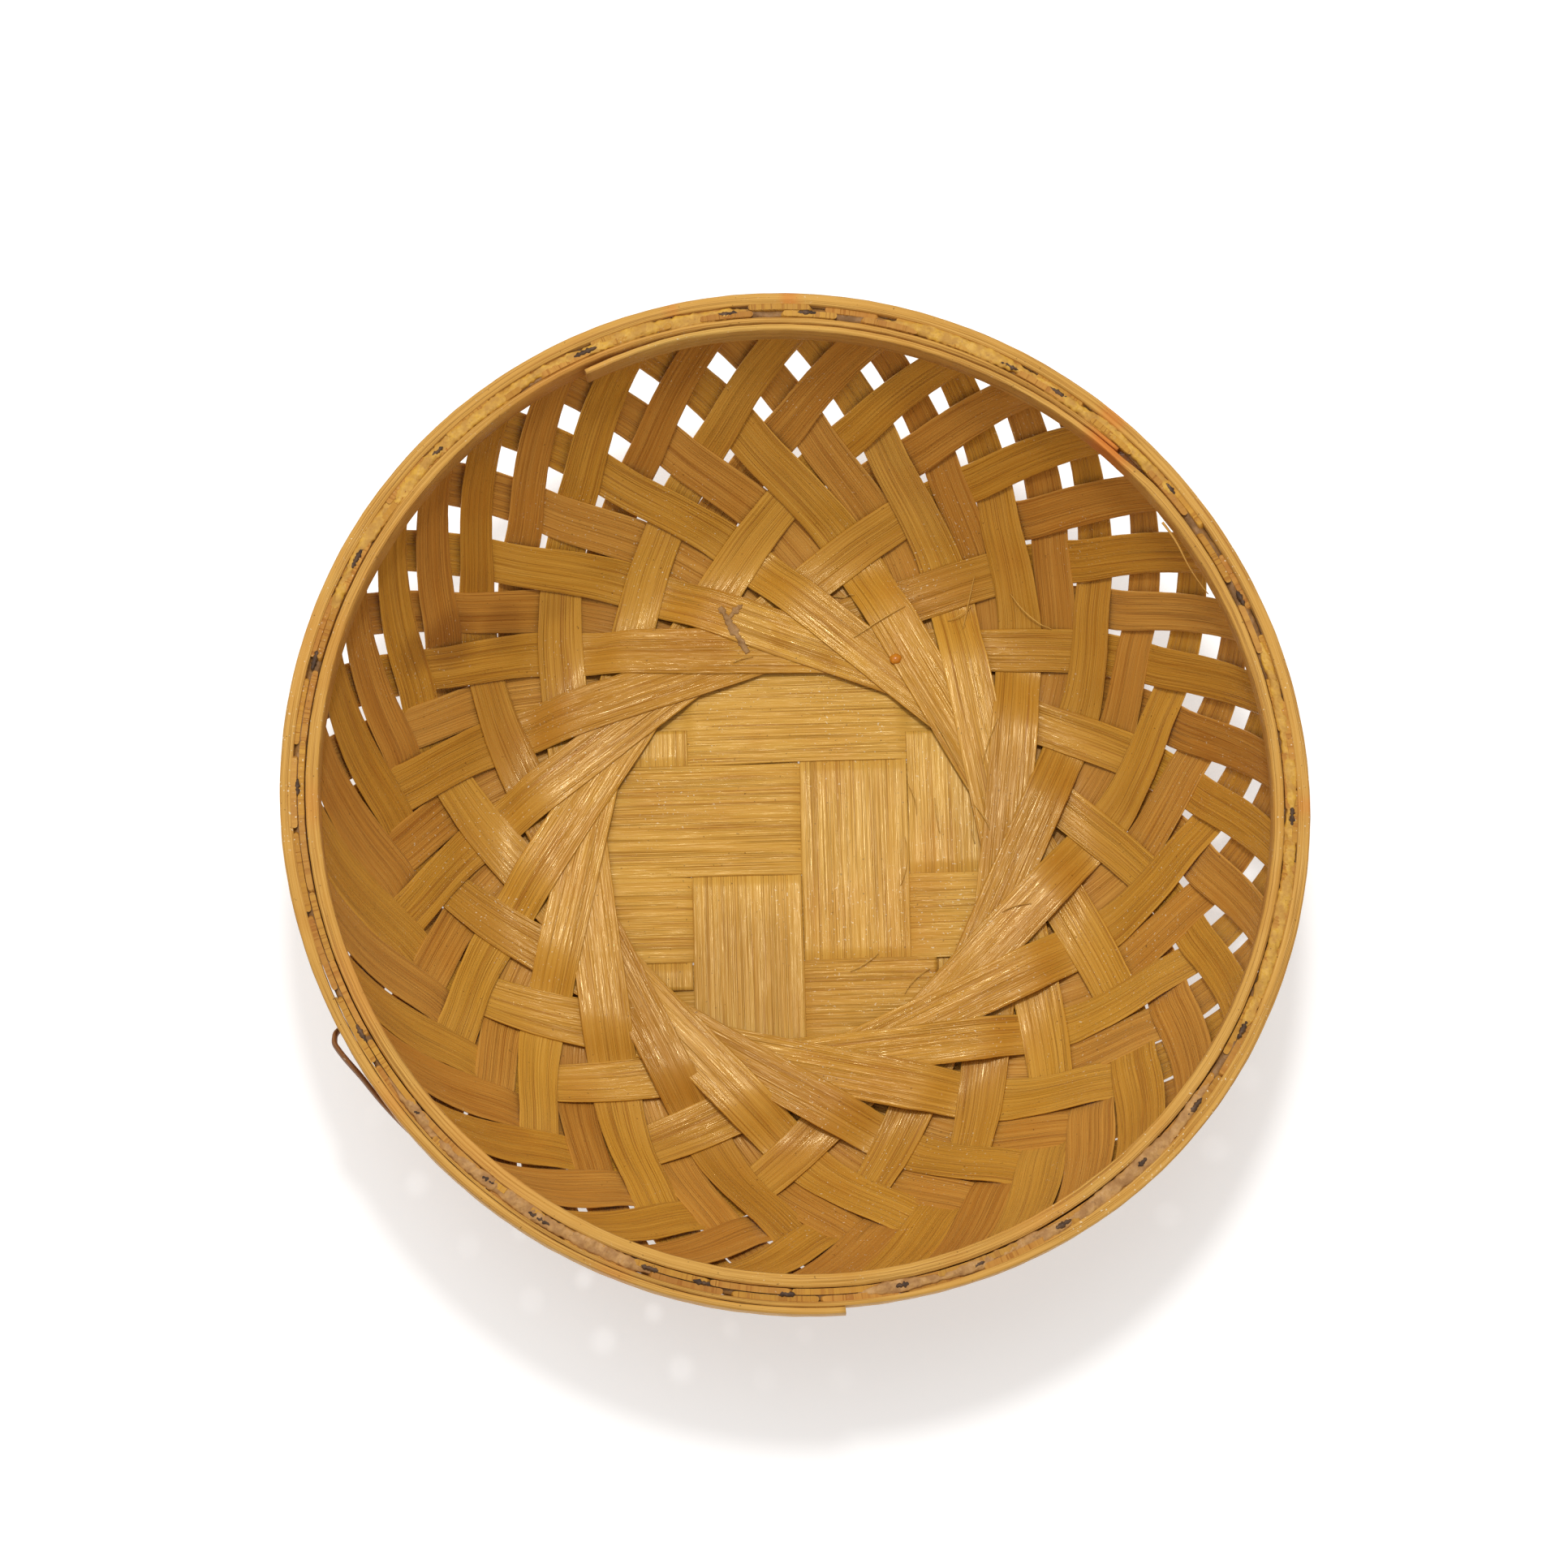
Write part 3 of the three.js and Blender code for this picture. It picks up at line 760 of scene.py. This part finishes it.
def outer_hoop():
    lap_start, lap_end = OUTER_LAP_DEG

    def under(degrees):
        """Thickness of the hoop's first turn, which starts as a hidden tip and grows past the lap."""
        tip = HOOP_TIP + (OUTER_UNDERLAY - HOOP_TIP) * smoothstep(lap_start, lap_end - 10, degrees)
        grown = smoothstep(lap_end, OUTER_REGROWN_DEG, degrees)
        return tip + (OUTER_HOOP_THICKNESS - OUTER_UNDERLAY) * grown

    def inner(degrees):
        past = degrees - 360
        lifted = GROOVE_OUTSIDE + under(past) + 0.08
        blend = smoothstep(lap_start - 12, lap_start, past)
        return GROOVE_OUTSIDE + (lifted - GROOVE_OUTSIDE) * blend

    def outer(degrees):
        return np.where(degrees < 360, GROOVE_OUTSIDE + under(degrees), RIM_RADIUS)

    def top(degrees):
        return HEIGHT - 0.15 + 0.15 * np.sin(np.radians(3 * degrees + 40))

    def bottom(degrees):
        return HEIGHT - HOOP_HEIGHT + 0.4 * np.sin(np.radians(2 * degrees))

    def tone(degrees):
        """Even all the way round."""
        return np.zeros_like(degrees)

    dye = [(90.5, 1.6, 0.5), (104, 1.0, 0.35), (358, 1.5, 0.3), (50, 2.5, 0.5), (218, 4, 0.15), (250, 3, 0.2)]
    hoop = bent_bar("outer_hoop_bamboo", lap_start, lap_end + 360, inner, outer, top, bottom,
                    HOOP_CORNER, tone, dye, 71)
    dress(hoop, hoop_look, "bamboo_hoop", "outer_hoop")


def inner_hoop():
    lap_start, lap_end = INNER_LAP_DEG
    inside = GROOVE_INSIDE - INNER_HOOP_THICKNESS

    def under(degrees):
        """Thickness of the first turn, whose orange tip lies on the outer side of the lap."""
        tip = INNER_TIP + (INNER_UNDERLAY - INNER_TIP) * smoothstep(lap_start, lap_start + 25, degrees)
        return tip + (INNER_HOOP_THICKNESS - INNER_UNDERLAY) * smoothstep(lap_end, lap_end + 30, degrees)

    def gap(past):
        """The last turn's end stands off inward."""
        return 0.06 + INNER_STAND_OFF * smoothstep(lap_end - 15, lap_end, past)

    def inner(degrees):
        past = degrees - 360
        last_turn = 1.3 - 0.2 * smoothstep(lap_end - 30, lap_end, past)
        shifted = GROOVE_INSIDE - under(past) - gap(past) - last_turn
        blend = smoothstep(lap_start - 30, lap_start, past)
        first = GROOVE_INSIDE - under(degrees)
        wider = 0.45 * smoothstep(150, 185, degrees) * smoothstep(345, 300, degrees)
        return np.where(degrees < 340, first - wider, inside + (shifted - inside) * blend)

    def outer(degrees):
        past = degrees - 360
        blend = smoothstep(lap_start - 8, lap_start, past)
        return GROOVE_INSIDE - (under(past) + gap(past)) * blend * (degrees > 340)

    def top(degrees):
        lowered = 0.6 * smoothstep(lap_start - 10, lap_start + 10, degrees - 360)
        return HEIGHT - 0.2 + 0.15 * np.sin(np.radians(2 * degrees + 100)) - lowered

    def bottom(degrees):
        return HEIGHT - HOOP_HEIGHT - 0.3 + 0.4 * np.sin(np.radians(3 * degrees))

    def tone(degrees):
        """The last turn's end is pale."""
        return -0.6 * smoothstep(lap_end - 45, lap_end - 15, degrees - 360)

    dye = [(48, 5, 0.75), (118, 12, 0.2), (232, 12, 0.15), (205, 10, 0.2), (300, 6, 0.15), (182, 4, 0.15)]
    hoop = bent_bar("inner_hoop_bamboo", lap_start, lap_end + 360, inner, outer, top, bottom,
                    HOOP_CORNER, tone, dye, 72)
    dress(hoop, hoop_look, "bamboo_hoop", "inner_hoop")


outer_hoop()
inner_hoop()


# ---- dried glue in the groove ----
GLUE_SPANS_DEG = [(36, 80), (95, 160), (216, 254), (277, 325), (330, 378)]
GLUE_MIDDLE = (GROOVE_INSIDE + GROOVE_OUTSIDE) / 2 + 0.1
DIRTY_SPAN_STARTS_DEG = (216, 277)
GROOVE_MM_PER_DEG = 1.66
BED_DEPTH = 1.9
clean_glue = glue_look("dried_glue_look", srgb(182, 132, 56), srgb(206, 156, 54), srgb(146, 100, 46))
dirty_glue = glue_look("dirty_glue_look", srgb(158, 112, 62), srgb(188, 140, 78), srgb(120, 84, 48))


def ripples(rng, along, across, lengths, size):
    """A smooth random surface: waves of the given lengths, each running its own way."""
    total = 0
    for length in lengths:
        heading = rng.uniform(0, math.pi)
        place = along * math.cos(heading) + across * math.sin(heading)
        total = total + np.sin(2 * math.pi * (place / length + rng.random()))
    return size * total / math.sqrt(len(lengths))


def glue_crust(index, start_deg, end_deg):
    rng = np.random.default_rng(300 + index)
    degrees = np.arange(start_deg, end_deg, 0.15)[:, None]
    angle = np.radians(degrees)
    arc = degrees * GROOVE_MM_PER_DEG
    place = np.linspace(0, math.pi, 13)
    ends = smoothstep(0, 3.5, degrees - start_deg) * smoothstep(0, 3.5, end_deg - degrees)
    width = 1.2 + waves(rng, arc, [67, 29, 13], 0.35) + waves(rng, arc, [5.3, 3.1, 1.7], 0.12)
    width = np.clip(width * (0.3 + 0.7 * ends), 0.3, 1.75)
    middle = GLUE_MIDDLE + waves(rng, arc, [51, 23], 0.35)
    across = width * np.cos(place)
    lumps = ripples(rng, arc, across, [9, 5.3, 3.7, 2.3], 0.16)
    lumps = lumps + ripples(rng, arc, across, [1.5, 1.1, 0.8, 0.6], 0.09)
    swell = np.clip(0.85 + waves(rng, arc, [41, 17, 8.3], 0.35), 0.2, 1.5)
    rise = (swell + lumps) * (0.3 + 0.7 * ends)
    r = middle + across + ripples(rng, arc, across, [2.9, 1.7, 1.1], 0.07)
    z = HEIGHT - 1.2 + rise * np.sin(place) ** 0.5
    under_r = middle + width * np.cos(place[::-1][1:-1])
    under_z = np.full_like(under_r, HEIGHT - 2.2)
    r, z = np.concatenate([r, under_r], axis=1), np.concatenate([z, under_z], axis=1)
    rings = np.stack([r * np.cos(angle), r * np.sin(angle), z], axis=-1)
    crust = loft(f"rim_glue_{index}_crust", rings, arc[:, 0], wrap(r))
    material = dirty_glue if start_deg in DIRTY_SPAN_STARTS_DEG else clean_glue
    dress(crust, material, "dried_glue", f"rim_glue_{index}")


def groove_bed():
    """Old glue and dust in the groove, under the crusts and between the strip ends."""
    rng = np.random.default_rng(77)
    degrees = np.linspace(0, 359.5, 720)[:, None]
    angle = np.radians(degrees)
    arc = degrees * GROOVE_MM_PER_DEG
    place = np.linspace(0, 2 * math.pi, 12, endpoint=False)
    across = (RIM_GROOVE / 2 - 0.12) * np.cos(place)
    r = (GROOVE_INSIDE + GROOVE_OUTSIDE) / 2 + across
    z = HEIGHT - BED_DEPTH + 0.6 * np.sin(place) + ripples(rng, arc, across, [17, 9, 4.1, 2.3], 0.2)
    rings = np.stack(np.broadcast_arrays(r * np.cos(angle), r * np.sin(angle), z), axis=-1)
    material = glue_look("old_glue_look", srgb(120, 84, 44), srgb(150, 108, 56), srgb(72, 48, 28))
    dress(loft("rim_groove_bed", rings, arc[:, 0], wrap(across)), material, "dried_glue")


# Dark patches in the groove: where a row of patches starts and ends in degrees, and how many it has.
GROOVE_DARK_PATCH_ROWS = [(205, 360, 15), (12, 187, 11)]
PATCH_STATIONS = 26
dark_groove_patch = glue_look("dark_groove_patch_look", srgb(58, 38, 22), srgb(92, 62, 34), srgb(34, 22, 14))


def dark_patch_places():
    """Each patch's middle and half length in degrees and its shift outwards in mm, shared out evenly."""
    rng = np.random.default_rng(650)
    for start, end, count in GROOVE_DARK_PATCH_ROWS:
        for share in range(count):
            middle = start + (end - start) * (share + rng.uniform(0.15, 0.85)) / count
            yield middle, rng.uniform(0.7, 1.7), rng.uniform(-0.3, 0.3)


def groove_dark_patch(index, middle_deg, half_deg, out):
    rng = np.random.default_rng(600 + index)
    degrees = np.linspace(middle_deg - half_deg, middle_deg + half_deg, PATCH_STATIONS)[:, None]
    angle = np.radians(degrees)
    arc = degrees * GROOVE_MM_PER_DEG
    place = np.linspace(0, 2 * math.pi, 14, endpoint=False)
    reach = np.sqrt(np.maximum(1 - ((degrees - middle_deg) / half_deg) ** 2, 0.02))
    across = (0.5 + waves(rng, arc, [1.9, 1.1, 0.7], 0.18)) * reach * np.cos(place)
    r = GLUE_MIDDLE + out + across + ripples(rng, arc, across, [1.3, 0.8], 0.06)
    z = HEIGHT - 0.6 + 0.5 * reach * np.sin(place) + ripples(rng, arc, across, [1.7, 0.9], 0.05)
    rings = np.stack([r * np.cos(angle), r * np.sin(angle), z], axis=-1)
    dress(loft(f"groove_dark_patch_{index:02d}", rings, arc[:, 0], wrap(across)), dark_groove_patch, "dried_glue")


for i, (start, end) in enumerate(GLUE_SPANS_DEG):
    glue_crust(i + 1, start, end)
groove_bed()
for i, (middle, half, out) in enumerate(dark_patch_places()):
    groove_dark_patch(i + 1, middle, half, out)


# ---- small trim that lies on the weave ----
FIBRE_RADIUS = 0.12
FIBRE_STATIONS = 26
FIBRE_COUNT = 16
# The fibres lie on the right half of the bowl, where the photo has most, up to the foot of the wall.
FIBRE_SECTOR_DEG = (-60, 105)
FIBRE_REACH = (22, 72)
STREAK_STATIONS = 60
STREAK_TOP_POINTS = 11
dirt_material = glue_look("dirt_look", srgb(150, 112, 66), srgb(176, 134, 82), srgb(112, 80, 48))


def weave_tree():
    """All the strips as one tree, for finding the top of the weave."""
    corners, faces = [], []
    for piece in woven:
        first = len(corners)
        corners.extend(vertex.co.copy() for vertex in piece.data.vertices)
        faces.extend([first + k for k in face.vertices] for face in piece.data.polygons)
    return BVHTree.FromPolygons(corners, faces)


weave = weave_tree()


def middle_height(radius):
    """Height of the middle surface at a radius, in mm."""
    radii, heights = profile(wall_along)[:2]
    return float(np.interp(radius, radii, heights))


def top_at(x, y):
    """Height of the weave's top at a place, in mm."""
    hit = weave.ray_cast(Vector((x * MM, y * MM, 1)), Vector((0, 0, -1)))[0]
    over_a_hole = middle_height(math.hypot(x, y)) - 1.5
    return max(hit.z / MM, over_a_hole) if hit else over_a_hole


def resting(x, y):
    """Height of the weave's top under a place of the even basket, which the loft then pulls sideways."""
    there = pulled(np.array([x, y, top_at(x, y)]))
    return top_at(there[0], there[1])


def curve_through(points, steps):
    """A smooth curve through up to four points."""
    points = np.asarray(points, float)
    order = min(len(points) - 1, 3)
    knots = np.linspace(0, 1, len(points))
    place = np.linspace(0, 1, steps)
    return np.stack([np.polyval(np.polyfit(knots, column, order), place) for column in points.T], axis=1)


def tube(name, centres, sizes, flatness, material, slot):
    """A thin solid round a curve in mm. flatness is its height over its width."""
    tangent = np.gradient(centres, axis=0)
    tangent = tangent / np.linalg.norm(tangent, axis=1)[:, None]
    side = np.cross(tangent, [0, 0, 1.0])
    side = side / np.linalg.norm(side, axis=1)[:, None]
    up = np.cross(side, tangent)
    turn = np.linspace(0, 2 * math.pi, 7, endpoint=False)
    rings = centres[:, None] + sizes[:, None, None] * (
        side[:, None] * np.cos(turn)[:, None] + up[:, None] * np.sin(turn)[:, None] * flatness)
    along = np.arange(len(centres)) * 0.5
    return dress(loft(name, rings, along, np.linspace(0, 2, 8)), material, slot)


def loose_fibre(index, lift, points):
    """A hair of bamboo on the weave through a few x, y places, lifted in its middle."""
    path = curve_through(points, FIBRE_STATIONS)
    ground = np.array([resting(x, y) for x, y in path])
    stations = np.arange(FIBRE_STATIONS)
    nearby = [ground[np.clip(stations + step, 0, FIBRE_STATIONS - 1)] for step in range(-2, 3)]
    ground = np.max(nearby, axis=0)[:, None]
    bow = lift * np.sin(np.linspace(0, math.pi, FIBRE_STATIONS))[:, None]
    centres = np.concatenate([path, smooth_rows(ground, 1.2) + FIBRE_RADIUS + 0.1 + bow], axis=1)
    sizes = FIBRE_RADIUS * (0.45 + 0.55 * np.sin(np.linspace(0.2, math.pi - 0.2, FIBRE_STATIONS)))
    tube(f"loose_fibre_{index + 1:02d}", centres, sizes, 0.8, fibre_look, "bamboo_upper")


def scattered_fibre(index):
    """A slightly bent hair of bamboo at a place, heading and length of its own."""
    rng = np.random.default_rng(800 + index)
    angle = math.radians(rng.uniform(*FIBRE_SECTOR_DEG))
    middle = rng.uniform(*FIBRE_REACH) * np.array([math.cos(angle), math.sin(angle)])
    heading = rng.uniform(0, math.pi)
    half = rng.uniform(1.6, 6.5)
    along = half * np.array([math.cos(heading), math.sin(heading)])
    aside = half * rng.uniform(-0.2, 0.2) * np.array([-math.sin(heading), math.cos(heading)])
    loose_fibre(index, rng.uniform(0.3, 1.4), [middle - along, middle + aside, middle + along])


for i in range(FIBRE_COUNT):
    scattered_fibre(i)


def resin_drop():
    """A drop of hardened resin on a blade."""
    x, y, radius, height = 21.3, 41.3, 1.15, 0.8
    rng = np.random.default_rng(12)
    slope = np.linspace(0, math.pi / 2 - 0.08, 9)[:, None]
    turn = np.linspace(0, 2 * math.pi, 20, endpoint=False)
    lump = 1 + 0.08 * np.sin(2 * turn + 1) + 0.05 * np.sin(5 * turn) + waves(rng, slope, [1.1, 0.7], 0.03)
    rise = resting(x, y) - 0.1 + height * np.sin(slope)
    reach = radius * lump * np.cos(slope)
    rings = np.stack(np.broadcast_arrays(x + reach * np.cos(turn), y + reach * np.sin(turn), rise), axis=-1)
    drop = loft("resin_drop", rings, slope[:, 0] * radius, np.linspace(0, 5, 21))
    dress(drop, resin_look(), "dried_glue")


def dirt_streak(index, width, points):
    """A crumbly deposit drawn out along a few x, y places."""
    rng = np.random.default_rng(400 + index)
    path = curve_through(points, STREAK_STATIONS)
    tangent = np.gradient(path, axis=0)
    tangent = tangent / np.linalg.norm(tangent, axis=1)[:, None]
    along = np.cumsum(np.linalg.norm(np.gradient(path, axis=0), axis=1))[:, None]
    half = np.clip(width + waves(rng, along, [5.1, 2.7, 1.3], width * 0.45), 0.12, 2 * width)
    half = half * (0.25 + 0.75 * np.sin(np.linspace(0.05, math.pi - 0.05, STREAK_STATIONS)))[:, None] ** 0.5
    place = np.linspace(0, math.pi, STREAK_TOP_POINTS)
    across = half * np.cos(place) + ripples(rng, along, half * np.cos(place), [1.3, 0.7], 0.08)
    x = path[:, :1] - tangent[:, 1:] * across
    y = path[:, 1:] + tangent[:, :1] * across
    ground = np.array([[resting(*spot) for spot in zip(*row)] for row in zip(x, y)])
    lumps = 1 + ripples(rng, along, across, [1.7, 0.9, 0.5], 0.35)
    z = ground + 0.3 * np.clip(lumps, 0.3, 2) * np.sin(place)
    rings = np.stack([np.concatenate([part, part[:, ::-1][:, 1:-1]], axis=1) for part in (x, y, z)], axis=-1)
    rings[:, STREAK_TOP_POINTS:, 2] = (ground - 0.15)[:, ::-1][:, 1:-1]
    across_uv = np.linspace(0, 3, 2 * STREAK_TOP_POINTS - 1)
    streak = loft(f"dirt_streak_{index + 1}", rings, along[:, 0], across_uv)
    dress(streak, dirt_material, "dried_glue")


resin_drop()
dirt_streak(0, 0.8, [(-15.6, 52.4), (-14.0, 49.6), (-12.1, 46.4), (-9.7, 42.7)])
dirt_streak(1, 0.55, [(-14.2, 49.4), (-12.6, 51.4), (-10.9, 53.0)])


# ---- slivers split off the hoops ----
# The skin sliver's route as degrees round the rim and radius, and the splinter's as x, y, z.
SLIVER_ROUTE = [
    (207.4, 98.6),
    (207.9, 101.0),
    (208.8, 102.0),
    (210.5, 101.6),
    (213.5, 100.6),
    (217.0, 100.2),
    (224.5, 99.1),
]
SLIVER_Z = 58.2
SLIVER_STATIONS = 60
SPLINTER = [(73.4, 54.9, 63.0), (76.6, 50.6, 61.4), (78.6, 46.9, 60.2), (82.6, 41.4, 58.2)]
SPLINTER_STATIONS = 30


def skin_sliver():
    """Brown skin that has come away under the outer hoop, hooked back to it at one end."""
    numbers = range(len(SLIVER_ROUTE))
    degrees, radii = np.transpose(SLIVER_ROUTE)
    place = np.linspace(0, len(SLIVER_ROUTE) - 1, SLIVER_STATIONS)
    degrees = smooth_rows(np.interp(place, numbers, degrees)[:, None], 2)[:, 0]
    radii = smooth_rows(np.interp(place, numbers, radii)[:, None], 2)[:, 0]
    angle = np.radians(degrees)
    z = SLIVER_Z + 0.6 * np.sin(place)
    centres = np.stack([radii * np.cos(angle), radii * np.sin(angle), z], axis=1)
    sizes = 0.58 * (0.6 + 0.4 * np.sin(np.linspace(0.3, math.pi - 0.2, SLIVER_STATIONS)))
    tube("skin_sliver", centres, sizes, 4.0, skin_look, "bamboo_hoop")


def hoop_splinter():
    """A thin splinter peeled off the inner hoop, tapering to its free end."""
    sizes = 0.28 * np.linspace(1, 0.4, SPLINTER_STATIONS)
    tube("hoop_splinter", curve_through(SPLINTER, SPLINTER_STATIONS), sizes, 0.5, hoop_look, "bamboo_hoop")


skin_sliver()
hoop_splinter()


# ---- floor and light ----
def make_floor():
    size = 3.0
    corners = [(-size, -size, 0), (size, -size, 0), (size, size, 0), (-size, size, 0)]
    mesh = bpy.data.meshes.new("floor")
    mesh.from_pydata(corners, [], [(0, 1, 2, 3)])
    mesh.materials.append(floor_look())
    floor = bpy.data.objects.new("floor", mesh)
    bpy.context.scene.collection.objects.link(floor)
    floor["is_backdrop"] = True


def area_light(name, place, target, size, power, glossy=True):
    light = bpy.data.lights.new(name, "AREA")
    light.shape = "DISK"
    light.size = size
    light.energy = power
    lamp = bpy.data.objects.new(name, light)
    bpy.context.scene.collection.objects.link(lamp)
    lamp.location = place
    aim = Vector(target) - Vector(place)
    lamp.rotation_euler = aim.to_track_quat("-Z", "Y").to_euler()
    lamp.visible_glossy = glossy


def make_light():
    world = bpy.data.worlds.new("studio")
    world.use_nodes = True
    background = world.node_tree.nodes["Background"]
    background.inputs["Color"].default_value = (1, 1, 1, 1)
    background.inputs["Strength"].default_value = 0.52
    bpy.context.scene.world = world
    area_light("softbox", (-0.2, 0.3, 1.2), (0, 0, 0.03), 0.9, 4.65, glossy=False)
    area_light("key", (0.0, 0.19, 0.9), (0, 0, 0.03), 0.09, 3.2)


make_floor()
make_light()
bpy.context.scene.view_settings.view_transform = "Standard"

visual_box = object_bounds()
boxes = {"cad": cad_box, "visual": visual_box}
{name: [list(corner) for corner in box] for name, box in boxes.items()}
